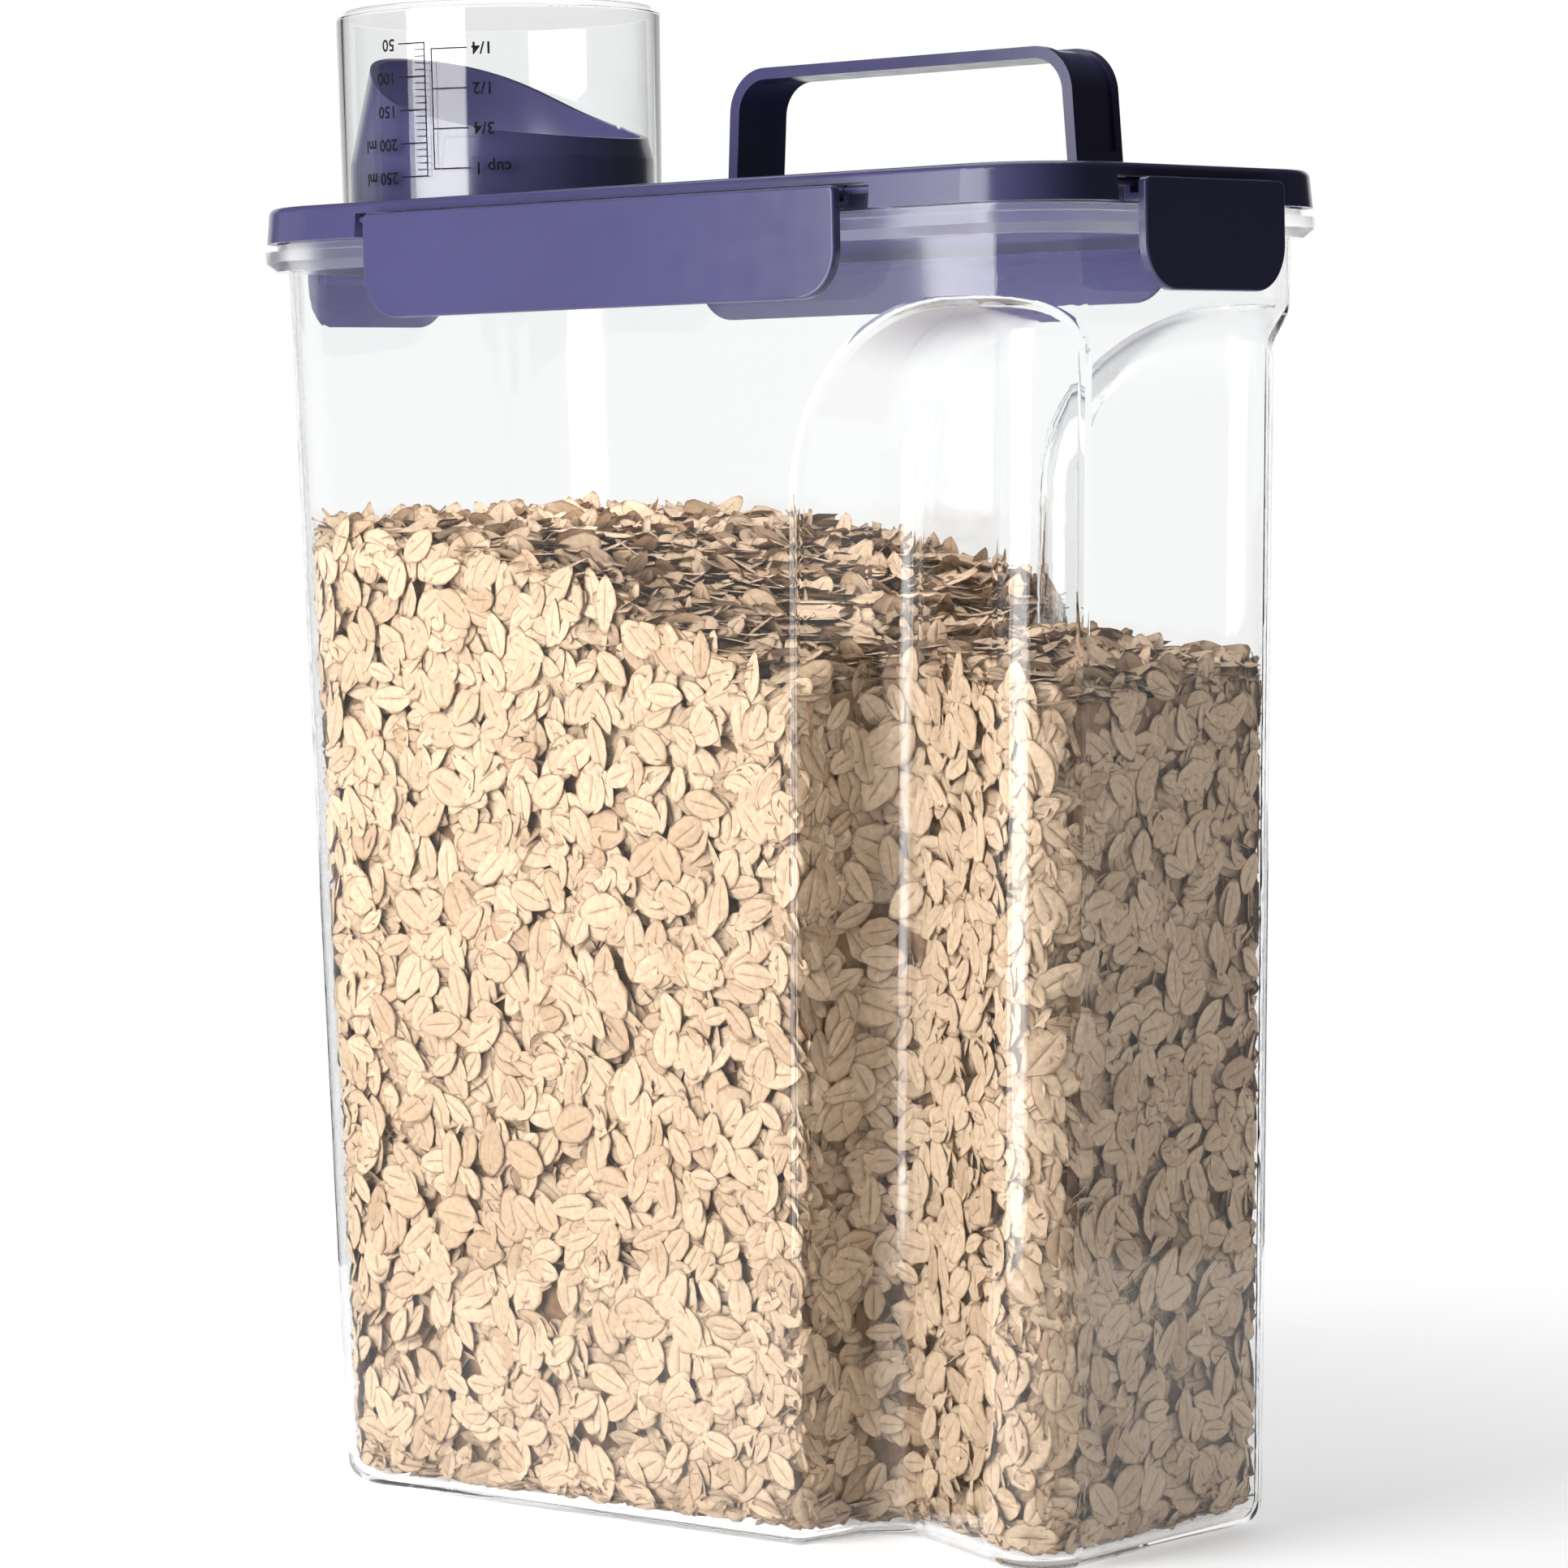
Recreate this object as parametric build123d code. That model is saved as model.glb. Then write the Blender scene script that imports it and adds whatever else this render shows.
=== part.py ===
from build123d import *
import math
import os

# Rice storage container: clear grip-waisted bin, snap-lock lid with pour spout, strap handle and measuring cup.
# All sizes in millimetres. +Z is up, the front is -Y, the pour end is -X and the grip end is +X.

# Rim of the container
FLANGE_LENGTH = 287.0
FLANGE_WIDTH = 129.0
POUR_CORNER_R = 36.0
GRIP_CORNER_R = 26.0
FLANGE_Z = 329.5
FLANGE_THICK = 5.2
FLANGE_BEVEL_W = 3.0
HOOK_ANGLE = 38.0
STEP_INSET = 3.2
STEP_HEIGHT = 1.9

# Walls of the container
WALL = 2.1
FLOOR = 2.6
WALL_INSET = 5.7
END_INSET = 6.5
END_TAPER = 10.5
SIDE_TAPER = 2.6
FOOT_FILLET = 6.0
POUR_R_DROP = 3.0
GRIP_R_DROP = 2.0

# Grip grooves, one in the front wall and one in the rear wall
GROOVE_REACH = 92.5
GROOVE_DRAFT = 14.0
GROOVE_DEPTH = 38.0
GROOVE_FLOOR_START = 8.0
GROOVE_FLOOR_SLOPE = 24.5
ARCH_R = 47.0
ARCH_DROP = 17.5
COLUMN_R = 16.0
COLUMN_TURN = 12.0
GROOVE_FILLET = 8.0
GROOVE_EDGE_R = 3.0
CUT_OVER = 30.0

# Lid, its seal and the hinge recesses in its skirt
LID_PLATE = 3.1
LID_GAP = 0.5
LID_INSET = 0.5
LID_FLARE = 0.9
LID_EDGE_R = 2.0
SKIRT_HEIGHT = 6.3
SKIRT_WALL = 2.5
PLUG_CLEAR = 0.5
PLUG_WALL = 1.8
PLUG_DEPTH = 7.0
GASKET_THICK = 2.4
GASKET_LAP = 0.2
RECESS_INSET = 5.2
HINGE_BLOCK = 4.5

# Snap latches: a plate hung from a barrel by a swan neck, with a hook rib under the rim
LATCH_END_LONG = 62.0
LATCH_END_SHORT = 35.8
LATCH_GAP_LONG = 7.3
LATCH_GAP_SHORT = 5.0
LATCH_HEIGHT = 27.6
LATCH_THICK = 2.5
LATCH_CORNER_R = 12.0
LATCH_EDGE_R = 0.8
PIVOT_INSET = 3.5
PIVOT_DROP = 1.6
BARREL_R = 1.3
PIN_R = 1.0
PIN_CLEAR = 0.15
PIN_GRIP = 2.6
NECK_THICK = 1.8
PLATE_CLEAR = 0.3
HOOK_CLEAR = 0.35
HOOK_TIP = 1.2
HOOK_THICK = 1.6

# Pour spout, moulded with the lid
SPOUT_R = 41.4
SPOUT_LEAN = 7.9
SPOUT_STRAIGHT = 12.0
SPOUT_WALL = 2.0
SPOUT_LEDGE = 5.4
SPOUT_HIGH = 44.5
SPOUT_LOW = 16.5

# Measuring cup, stood upside down over the spout
CUP_CLEAR = 1.0
CUP_FLARE = 0.7
CUP_END_GAP = 4.0
CUP_HEIGHT = 53.5
CUP_WALL = 1.4
CUP_BASE = 2.2
CUP_EDGE_R = 2.2

# Strap handle snapped into two slots of the lid
HANDLE_CUP_GAP = 46.0
HANDLE_END_GAP = 32.0
HANDLE_HEIGHT = 31.5
HANDLE_WIDTH = 19.0
HANDLE_THICK = 3.0
HANDLE_LEAN = 2.0
HANDLE_CORNER_R = 12.0
HANDLE_CHANNEL = 0.8
HANDLE_EDGE = 2.6
FOOT_WIDTH_Y = 15.0
FOOT_SHOE = 0.9
BARB = 1.2
SLOT_CLEAR = 0.15

# Places and heights that follow from the sizes above
GROOVE_X = FLANGE_LENGTH / 2 - GROOVE_REACH
GROOVE_FLOOR_Y = FLANGE_WIDTH / 2 - GROOVE_DEPTH
ARCH_TOP_Z = FLANGE_Z - ARCH_DROP
LATCH_LONG = FLANGE_LENGTH - 2 * LATCH_END_LONG
LATCH_SHORT = FLANGE_WIDTH - 2 * LATCH_END_SHORT
SPOUT_TOP_R = SPOUT_R - SPOUT_LEAN
SPOUT_BORE_R = SPOUT_R - SPOUT_LEDGE
CUP_MOUTH_R = SPOUT_R + CUP_CLEAR + CUP_WALL
CUP_R = CUP_MOUTH_R + CUP_FLARE
SPOUT_END = CUP_R + CUP_END_GAP
SPOUT_X = SPOUT_END - FLANGE_LENGTH / 2
HANDLE_LENGTH = FLANGE_LENGTH - SPOUT_END - CUP_R - HANDLE_CUP_GAP - HANDLE_END_GAP
HANDLE_X = FLANGE_LENGTH / 2 - HANDLE_END_GAP - HANDLE_LENGTH / 2
FLANGE_TOP = FLANGE_Z + FLANGE_THICK
STEP_TOP = FLANGE_TOP + STEP_HEIGHT
SKIRT_Z = STEP_TOP + LID_GAP
LID_UNDER = SKIRT_Z + SKIRT_HEIGHT
LID_TOP = LID_UNDER + LID_PLATE
LIP_TOP = LID_UNDER - GASKET_THICK
PIVOT_Z = LID_UNDER - PIVOT_DROP
BEVEL_H = FLANGE_BEVEL_W * math.tan(math.radians(HOOK_ANGLE))


def lerp(a, b, t):
    return a + (b - a) * t


def outline(length, width, r_pour, r_grip):
    """Rounded rectangle face on XY with its own corner radius at each end."""
    x1, y1 = length / 2, width / 2
    k = math.sqrt(0.5)
    rp, rg = r_pour, r_grip
    edges = [
        Line((-x1 + rp, -y1), (x1 - rg, -y1)),
        ThreePointArc((x1 - rg, -y1), (x1 - rg + rg * k, -y1 + rg - rg * k), (x1, -y1 + rg)),
        Line((x1, -y1 + rg), (x1, y1 - rg)),
        ThreePointArc((x1, y1 - rg), (x1 - rg + rg * k, y1 - rg + rg * k), (x1 - rg, y1)),
        Line((x1 - rg, y1), (-x1 + rp, y1)),
        ThreePointArc((-x1 + rp, y1), (-x1 + rp - rp * k, y1 - rp + rp * k), (-x1, y1 - rp)),
        Line((-x1, y1 - rp), (-x1, -y1 + rp)),
        ThreePointArc((-x1, -y1 + rp), (-x1 + rp - rp * k, -y1 + rp - rp * k), (-x1 + rp, -y1)),
    ]
    return make_face(edges)


def rim_outline(inset):
    """The rim's plan outline moved inward by a distance."""
    return outline(FLANGE_LENGTH - 2 * inset, FLANGE_WIDTH - 2 * inset,
                   POUR_CORNER_R - inset, GRIP_CORNER_R - inset)


def rim_prism(inset, z0, z1):
    return Pos(0, 0, z0) * extrude(rim_outline(inset), z1 - z0)


# Wall form between the foot and the rim
TOP_LENGTH = FLANGE_LENGTH - 2 * END_INSET
TOP_WIDTH = FLANGE_WIDTH - 2 * WALL_INSET
FOOT_LENGTH = TOP_LENGTH - 2 * END_TAPER
FOOT_WIDTH = TOP_WIDTH - 2 * SIDE_TAPER
TOP_R_POUR = POUR_CORNER_R - WALL_INSET
TOP_R_GRIP = GRIP_CORNER_R - WALL_INSET
FOOT_R_POUR = TOP_R_POUR - POUR_R_DROP
FOOT_R_GRIP = TOP_R_GRIP - GRIP_R_DROP
END_SLOPE = END_TAPER / FLANGE_Z


def wall_outline(z, inset):
    t = z / FLANGE_Z
    return Pos(0, 0, z) * outline(lerp(FOOT_LENGTH, TOP_LENGTH, t) - 2 * inset,
                                  lerp(FOOT_WIDTH, TOP_WIDTH, t) - 2 * inset,
                                  lerp(FOOT_R_POUR, TOP_R_POUR, t) - inset,
                                  lerp(FOOT_R_GRIP, TOP_R_GRIP, t) - inset)


def wall_form(inset, z0, z1):
    return loft([wall_outline(z0, inset), wall_outline(z1, inset)], ruled=True)


def arch_face(grow):
    """Side view of a groove: slanted left edge, round arch, level top running out past the grip end."""
    a = math.atan(END_SLOPE)
    zc = ARCH_TOP_Z - ARCH_R
    xc = GROOVE_X + END_SLOPE * zc + ARCH_R / math.cos(a)
    r = ARCH_R + grow
    touch = (xc - r * math.cos(a), zc + r * math.sin(a))
    mid = math.radians(135) - a / 2
    low_z = -2 * CUT_OVER
    low = (touch[0] - END_SLOPE * (touch[1] - low_z), low_z)
    far_x = TOP_LENGTH / 2 + 2 * CUT_OVER
    edges = [
        Line(low, touch),
        ThreePointArc(touch, (xc + r * math.cos(mid), zc + r * math.sin(mid)), (xc, zc + r)),
        Line((xc, zc + r), (far_x, zc + r)),
        Line((far_x, zc + r), (far_x, low_z)),
        Line((far_x, low_z), low),
    ]
    return make_face(edges)


def floor_plan(wall):
    """Plan at the foot of the space in front of the groove's floor, and a test for that floor's rounded edges."""
    beta = math.radians(GROOVE_FLOOR_SLOPE)
    r = COLUMN_R - wall
    ox, oy = -math.sin(beta), -math.cos(beta)
    root = (GROOVE_X + GROOVE_FLOOR_START - wall * ox, -GROOVE_FLOOR_Y - wall * oy)
    cx = FOOT_LENGTH / 2 - COLUMN_R * math.cos(math.radians(COLUMN_TURN))
    tx = cx + r * ox
    ty = root[1] - math.tan(beta) * (tx - root[0])
    cy = ty - r * oy
    x0 = GROOVE_X - CUT_OVER
    y0 = root[1] - math.tan(beta) * (x0 - root[0])
    far_x, far_y = TOP_LENGTH / 2 + CUT_OVER, -FLANGE_WIDTH
    mid = (math.radians(270) - beta + math.radians(360)) / 2
    edges = [
        Line((x0, far_y), (x0, y0)),
        Line((x0, y0), (tx, ty)),
        ThreePointArc((tx, ty), (cx + r * math.cos(mid), cy + r * math.sin(mid)), (cx + r, cy)),
        Line((cx + r, cy), (far_x, cy)),
        Line((far_x, cy), (far_x, far_y)),
        Line((far_x, far_y), (x0, far_y)),
    ]

    def on_floor(edge):
        hits = 0
        for u in (0.25, 0.5, 0.75):
            p = edge @ u
            x, y = p.X - END_SLOPE * p.Z, p.Y
            line = abs((x - root[0]) * ox + (y - root[1]) * oy) < 0.02 and x < tx + 0.05
            arc = abs(math.hypot(x - cx, y - cy) - r) < 0.02 and x > tx - 0.05
            hits += line or arc
        seam = abs((edge @ 0.5).X - END_SLOPE * (edge @ 0.5).Z - tx) < 0.05
        low = (edge @ 0.5).Z < GROOVE_FILLET - CUT_OVER
        return hits == 3 and not seam and not low

    return make_face(edges), on_floor


def groove_tool(wall):
    """Space taken out of the front wall for one grip groove; wall moves every side of it outward."""
    reach = CUT_OVER
    face_y = FOOT_WIDTH / 2
    grow = reach * math.tan(math.radians(GROOVE_DRAFT)) + wall / math.cos(math.radians(GROOVE_DRAFT))
    side = Plane(origin=(0, -face_y - reach, 0), x_dir=(1, 0, 0), z_dir=(0, 1, 0))
    arch = mirror(arch_face(grow), Plane.XZ)
    scoop = extrude(side * arch, face_y + reach - GROOVE_FILLET, taper=GROOVE_DRAFT)
    # plan of the groove's floor and the rounded grip column, swept along the lean of the grip end
    plan, on_floor = floor_plan(wall)
    lean = Vector(END_SLOPE, 0, 1).normalized()
    rise = FLANGE_Z + 2 * CUT_OVER
    start = Pos(-CUT_OVER * END_SLOPE, 0, -CUT_OVER) * plan
    under = extrude(start, rise / lean.Z, dir=lean)
    tool = scoop & under
    corner = [e for e in tool.edges() if on_floor(e)]
    return fillet(corner, GROOVE_FILLET + wall)


def groove_rim(form, inset):
    """Edges where the grooves open through the front and rear walls."""
    picked = []
    for e in form.edges():
        on_wall = 0
        for u in (0.2, 0.5, 0.8):
            q = e @ u
            half = lerp(FOOT_WIDTH, TOP_WIDTH, q.Z / FLANGE_Z) / 2 - inset
            on_wall += abs(abs(q.Y) - half) < 0.02
        top = max((e @ 0).Z, (e @ 1).Z)
        if on_wall == 3 and (e @ 0.5).X > GROOVE_X - WALL_INSET and (e @ 0.5).Z > FOOT_FILLET \
                and top < ARCH_TOP_Z + WALL_INSET:
            picked.append(e)
    return picked


def bin_form(wall, z0):
    """The container's outer form (wall 0) or the form of its inside (wall thickness), with both grip grooves."""
    form = wall_form(wall, z0, FLANGE_Z)
    tool = groove_tool(wall)
    form = form - tool - mirror(tool, Plane.XZ)
    foot = [e for e in form.edges() if abs((e @ 0).Z - z0) < 0.01 and abs((e @ 0.5).Z - z0) < 0.01]
    form = fillet(foot, FOOT_FILLET - wall / 2)
    return fillet(groove_rim(form, wall), GROOVE_EDGE_R - wall)


def lip_prism(inset, z0, z1):
    face = outline(TOP_LENGTH - 2 * inset, TOP_WIDTH - 2 * inset, TOP_R_POUR - inset, TOP_R_GRIP - inset)
    return Pos(0, 0, z0) * extrude(face, z1 - z0)


def make_container():
    solid = bin_form(0, 0)
    low = Pos(0, 0, FLANGE_Z) * rim_outline(FLANGE_BEVEL_W)
    high = Pos(0, 0, FLANGE_Z + BEVEL_H) * rim_outline(0)
    solid += loft([low, high], ruled=True)
    solid += rim_prism(0, FLANGE_Z + BEVEL_H, FLANGE_TOP)
    solid += rim_prism(STEP_INSET, FLANGE_TOP, STEP_TOP)
    solid += lip_prism(0, STEP_TOP, LIP_TOP)
    solid -= bin_form(WALL, FLOOR)
    return solid - lip_prism(WALL, FLANGE_Z, LIP_TOP)


# The four latches: name, hinge length, gap to the hinge block, half size of the rim on that side, turn about Z
SIDES = [
    ("front_latch", LATCH_LONG, LATCH_GAP_LONG, FLANGE_WIDTH / 2, 0),
    ("grip_latch", LATCH_SHORT, LATCH_GAP_SHORT, FLANGE_LENGTH / 2, 90),
    ("rear_latch", LATCH_LONG, LATCH_GAP_LONG, FLANGE_WIDTH / 2, 180),
    ("pour_latch", LATCH_SHORT, LATCH_GAP_SHORT, FLANGE_LENGTH / 2, 270),
]


def make_latch(length, gap, half):
    """A latch for the front side: hinge line along X, outward is -Y."""
    pivot_y = -(half - PIVOT_INSET)
    lid_edge = PIVOT_INSET - LID_INSET - LID_FLARE
    reach = math.hypot(lid_edge - LID_EDGE_R, LID_TOP - LID_EDGE_R - PIVOT_Z) + LID_EDGE_R + PLATE_CLEAR
    rise = LID_UNDER - LID_GAP - PIVOT_Z
    neck_top = -(PIVOT_INSET - LID_INSET + PLATE_CLEAR - 0.6)
    neck_low = neck_top - NECK_THICK
    outer = reach + LATCH_THICK

    def at(o, v):
        return (pivot_y - o, PIVOT_Z + v)

    def bar(points, span):
        face = make_face(Polyline([at(*p) for p in points], close=True))
        return Pos(-span / 2, 0, 0) * extrude(Plane.YZ * face, span)

    body = Plane.XZ * (Pos(0, PIVOT_Z + rise - LATCH_HEIGHT / 2) * Rectangle(length, LATCH_HEIGHT))
    plate = Pos(0, pivot_y - reach, 0) * extrude(body, LATCH_THICK)
    low_corners = plate.edges().filter_by(Axis.Y).group_by(Axis.Z)[0]
    plate = fillet(low_corners, LATCH_CORNER_R)
    high_corners = plate.edges().filter_by(Axis.Y).group_by(Axis.Z)[-1]
    plate = fillet(high_corners, 2.0)
    plate = fillet(plate.faces().sort_by(Axis.Y)[0].edges(), LATCH_EDGE_R)
    # swan neck from the barrel down, then out to the plate
    neck = bar([(-0.9, 0), (0.9, 0), (0.9, neck_top), (reach + 0.5, neck_top),
                (reach + 0.5, neck_low), (-0.9, neck_low)], length - 4)
    # hook rib, its top parallel to the bevel under the rim
    bevel = math.tan(math.radians(HOOK_ANGLE))
    root_v = FLANGE_Z - PIVOT_Z - HOOK_CLEAR / math.cos(math.radians(HOOK_ANGLE))
    bevel_o = PIVOT_INSET - FLANGE_BEVEL_W
    tip_v = root_v + (HOOK_TIP - bevel_o) * bevel
    top_v = root_v + (reach - bevel_o) * bevel
    hook = bar([(HOOK_TIP, tip_v), (reach + 0.5, top_v + 0.5 * bevel), (reach + 0.5, tip_v - HOOK_THICK - 1.5),
                (HOOK_TIP, tip_v - HOOK_THICK)], length - 12)
    barrel = Cylinder(BARREL_R, length - 4, rotation=(0, 90, 0))
    pins = Cylinder(PIN_R, length + 2 * gap + 2 * PIN_GRIP, rotation=(0, 90, 0))
    return plate + neck + hook + Pos(0, pivot_y, PIVOT_Z) * (barrel + pins)


def spout_profile_top():
    """Side view of the pour lip: high at the pour end, sweeping down in an S."""
    rise = SPOUT_HIGH - SPOUT_LOW
    shape = [(-1.0, 1.0), (-0.72, 0.90), (-0.45, 0.70), (-0.15, 0.44), (0.15, 0.26), (0.5, 0.12), (1.0, 0.0)]
    return [(u * (SPOUT_R + 2), SPOUT_LOW + v * rise) for u, v in shape]


def make_spout():
    """Spout collar and the space inside it, on its own axis with the lid's top at zero."""
    top = SPOUT_HIGH + 3
    w = SPOUT_WALL
    shell = make_face(Polyline([(0, -LID_PLATE / 2), (SPOUT_R, -LID_PLATE / 2), (SPOUT_R, SPOUT_STRAIGHT),
                                (SPOUT_TOP_R, top), (0, top)], close=True))
    bore = make_face(Polyline([(0, -LID_PLATE - 1), (SPOUT_BORE_R, -LID_PLATE - 1), (SPOUT_BORE_R, -1.0),
                               (SPOUT_R - w, 5.0), (SPOUT_R - w, SPOUT_STRAIGHT),
                               (SPOUT_TOP_R - w, top), (SPOUT_TOP_R - w, top + 1), (0, top + 1)], close=True))
    shell = revolve(Plane.XZ * shell, Axis.Z)
    bore = revolve(Plane.XZ * bore, Axis.Z)
    pts = spout_profile_top()
    clear = top + CUT_OVER
    above = [Spline(pts), Line(pts[-1], (pts[-1][0], clear)), Line((pts[-1][0], clear), (pts[0][0], clear)),
             Line((pts[0][0], clear), pts[0])]
    cut = extrude(Plane.XZ * make_face(above), 2 * SPOUT_R + 10, both=True)
    return shell - cut, bore


def handle_side(inset):
    """Side outline of the strap, its lower ends carried a little below the lid's top."""
    half, lean = HANDLE_LENGTH / 2, HANDLE_LEAN
    top = HANDLE_HEIGHT - inset
    pts = [(-half + inset, 0), (-half + lean + inset, top), (half - lean - inset, top), (half - inset, 0)]
    face = make_face(Polyline(pts, close=True))
    corners = face.vertices().group_by(Axis.Y)[-1]
    return fillet(corners, HANDLE_CORNER_R - inset)


def foot_side(clear):
    """Side outline of a snap foot through the lid, about its own leg."""
    t = HANDLE_THICK / 2
    under = -LID_PLATE - SLOT_CLEAR
    return make_face(Polyline([(-t, 1.0), (t, 1.0), (t, under), (t + BARB, under), (t - 0.5, under - 3.0),
                               (-t + 0.5, under - 3.0), (-t - BARB, under), (-t, under)], close=True))


LEG_X = HANDLE_LENGTH / 2 - HANDLE_THICK / 2


def make_handle():
    band = handle_side(0) - handle_side(HANDLE_THICK)
    strap = extrude(Plane.XZ * band, HANDLE_WIDTH / 2, both=True)
    channel = handle_side(-1) - handle_side(HANDLE_CHANNEL)
    channel = extrude(Plane.XZ * channel, HANDLE_WIDTH / 2 - HANDLE_EDGE, both=True)
    keep = Pos(0, 0, HANDLE_HEIGHT / 2 + 5) * Box(HANDLE_LENGTH + 10, HANDLE_WIDTH, HANDLE_HEIGHT)
    strap -= channel & keep
    for side in (-1, 1):
        foot = extrude(Plane.XZ * foot_side(0), FOOT_WIDTH_Y / 2, both=True)
        shoe = Pos(0, 0, FOOT_SHOE / 2) * Box(HANDLE_THICK + 2.4, HANDLE_WIDTH + 2.4, FOOT_SHOE)
        shoe = fillet(shoe.edges().filter_by(Axis.Z), 1.0)
        strap += Pos(side * LEG_X, 0, 0) * (foot + shoe)
    return Pos(HANDLE_X, 0, LID_TOP) * strap


def make_lid():
    def lid_outline(inset, z):
        return Pos(0, 0, z) * rim_outline(LID_INSET + inset)

    cap = loft([lid_outline(0, SKIRT_Z), lid_outline(LID_FLARE, LID_TOP)], ruled=True)
    cap = fillet(cap.faces().sort_by(Axis.Z)[-1].edges(), LID_EDGE_R)
    ring = cap - rim_prism(RECESS_INSET, SKIRT_Z - 1, LID_TOP + 1)
    lid = cap - rim_prism(LID_INSET + SKIRT_WALL, SKIRT_Z - 1, LID_UNDER)
    plug = lip_prism(WALL + PLUG_CLEAR, LID_UNDER - PLUG_DEPTH, LID_UNDER)
    lid += plug - lip_prism(WALL + PLUG_CLEAR + PLUG_WALL, LID_UNDER - PLUG_DEPTH - 1, LID_UNDER + 1)
    for name, length, gap, half, turn in SIDES:
        span = length + 2 * gap
        tall = LID_UNDER - SKIRT_Z + 1
        deep = RECESS_INSET + 6
        place = Rot(0, 0, turn) * Pos(0, -(half - RECESS_INSET + deep / 2), LID_UNDER - tall / 2)
        lid -= place * Box(span, deep, tall)
        blocks = ring & (place * (Box(span + 2 * HINGE_BLOCK, deep, tall) - Box(span, deep + 1, tall + 1)))
        hole = Cylinder(PIN_R + PIN_CLEAR, span + 2 * PIN_GRIP + 0.6, rotation=(0, 90, 0))
        hole = Rot(0, 0, turn) * Pos(0, -(half - PIVOT_INSET), PIVOT_Z) * hole
        lid = lid + blocks - hole
    collar, bore = make_spout()
    at_spout = Pos(SPOUT_X, 0, LID_TOP)
    lid = lid + at_spout * collar - at_spout * bore
    for side in (-1, 1):
        slot = Box(HANDLE_THICK + 2 * SLOT_CLEAR, FOOT_WIDTH_Y + 2 * SLOT_CLEAR, LID_PLATE + 2)
        lid -= Pos(HANDLE_X + side * LEG_X, 0, LID_TOP - LID_PLATE / 2) * slot
    return lid


def make_gasket():
    ring = lip_prism(-GASKET_LAP, LIP_TOP, LID_UNDER)
    return ring - lip_prism(WALL + PLUG_CLEAR, LIP_TOP - 1, LID_UNDER + 1)


def make_cup():
    inner = CUP_MOUTH_R - CUP_WALL
    side = make_face(Polyline([(0, CUP_HEIGHT - CUP_BASE), (inner, CUP_HEIGHT - CUP_BASE), (inner, 0),
                               (CUP_MOUTH_R, 0), (CUP_R, CUP_HEIGHT), (0, CUP_HEIGHT)], close=True))
    cup = revolve(Plane.XZ * side, Axis.Z)
    rim = [e for e in cup.edges() if abs((e @ 0).Z - CUP_HEIGHT) < 0.01 and e.length > 10]
    cup = fillet(rim, CUP_EDGE_R)
    return Pos(SPOUT_X, 0, LID_TOP) * cup


def main():
    os.makedirs("parts", exist_ok=True)
    pieces = {
        "container": make_container(),
        "lid": make_lid(),
        "lid_gasket": make_gasket(),
        "handle": make_handle(),
        "measuring_cup": make_cup(),
    }
    for name, length, gap, half, turn in SIDES:
        pieces[name] = Rot(0, 0, turn) * make_latch(length, gap, half)
    for name, piece in pieces.items():
        export_step(piece, f"parts/{name}.step")


if __name__ == "__main__":
    main()
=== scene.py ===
"""Looks of the rice storage container: materials, the cup's scale, the oats, light and camera."""

import math
from collections import namedtuple

import bpy
import numpy as np
from mathutils import Matrix, Vector
from mathutils.bvhtree import BVHTree


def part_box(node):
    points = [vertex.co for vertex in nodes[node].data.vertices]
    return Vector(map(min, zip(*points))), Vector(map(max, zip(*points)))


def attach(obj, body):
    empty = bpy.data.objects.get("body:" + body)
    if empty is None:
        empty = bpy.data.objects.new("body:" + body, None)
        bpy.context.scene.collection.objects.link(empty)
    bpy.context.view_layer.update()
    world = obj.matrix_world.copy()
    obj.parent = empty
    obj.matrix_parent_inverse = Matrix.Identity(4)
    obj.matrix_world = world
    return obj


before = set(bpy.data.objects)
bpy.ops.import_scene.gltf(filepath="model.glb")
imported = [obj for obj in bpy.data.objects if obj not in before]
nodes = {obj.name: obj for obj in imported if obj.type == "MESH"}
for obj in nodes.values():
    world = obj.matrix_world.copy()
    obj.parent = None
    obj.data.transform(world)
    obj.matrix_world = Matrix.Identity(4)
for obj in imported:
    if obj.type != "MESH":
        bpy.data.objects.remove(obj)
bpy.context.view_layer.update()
scene = bpy.context.scene


# Camera of the photograph, in the row frame

CAM_EYE = Vector((0.9873, -1.1370, 0.2758))
CAM_AZIMUTH = 40.90
CAM_PITCH = 3.25
CAM_ROLL = -1.19
CAM_FOCAL_PX = 7022.0
CAM_CLIP_START = 0.05
PHOTO_PX = 1932.0
SENSOR_MM = 36.0


def add_camera():
    az, pitch, roll = (math.radians(a) for a in (CAM_AZIMUTH, CAM_PITCH, CAM_ROLL))
    ahead = Vector((-math.sin(az) * math.cos(pitch), math.cos(az) * math.cos(pitch), -math.sin(pitch)))
    level = ahead.cross(Vector((0, 0, 1))).normalized()
    upright = level.cross(ahead)
    right = level * math.cos(roll) + upright * math.sin(roll)
    up = upright * math.cos(roll) - level * math.sin(roll)
    data = bpy.data.cameras.new("photo_camera")
    data.sensor_width = SENSOR_MM
    data.lens = CAM_FOCAL_PX / PHOTO_PX * SENSOR_MM
    data.clip_start = CAM_CLIP_START
    cam = bpy.data.objects.new("photo_camera", data)
    cam.matrix_world = Matrix((
        (right.x, up.x, -ahead.x, CAM_EYE.x),
        (right.y, up.y, -ahead.y, CAM_EYE.y),
        (right.z, up.z, -ahead.z, CAM_EYE.z),
        (0, 0, 0, 1),
    ))
    scene.collection.objects.link(cam)
    scene.camera = cam


# Building blocks of the materials

NOISE_LOW = 0.3
NOISE_HIGH = 0.7


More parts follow.
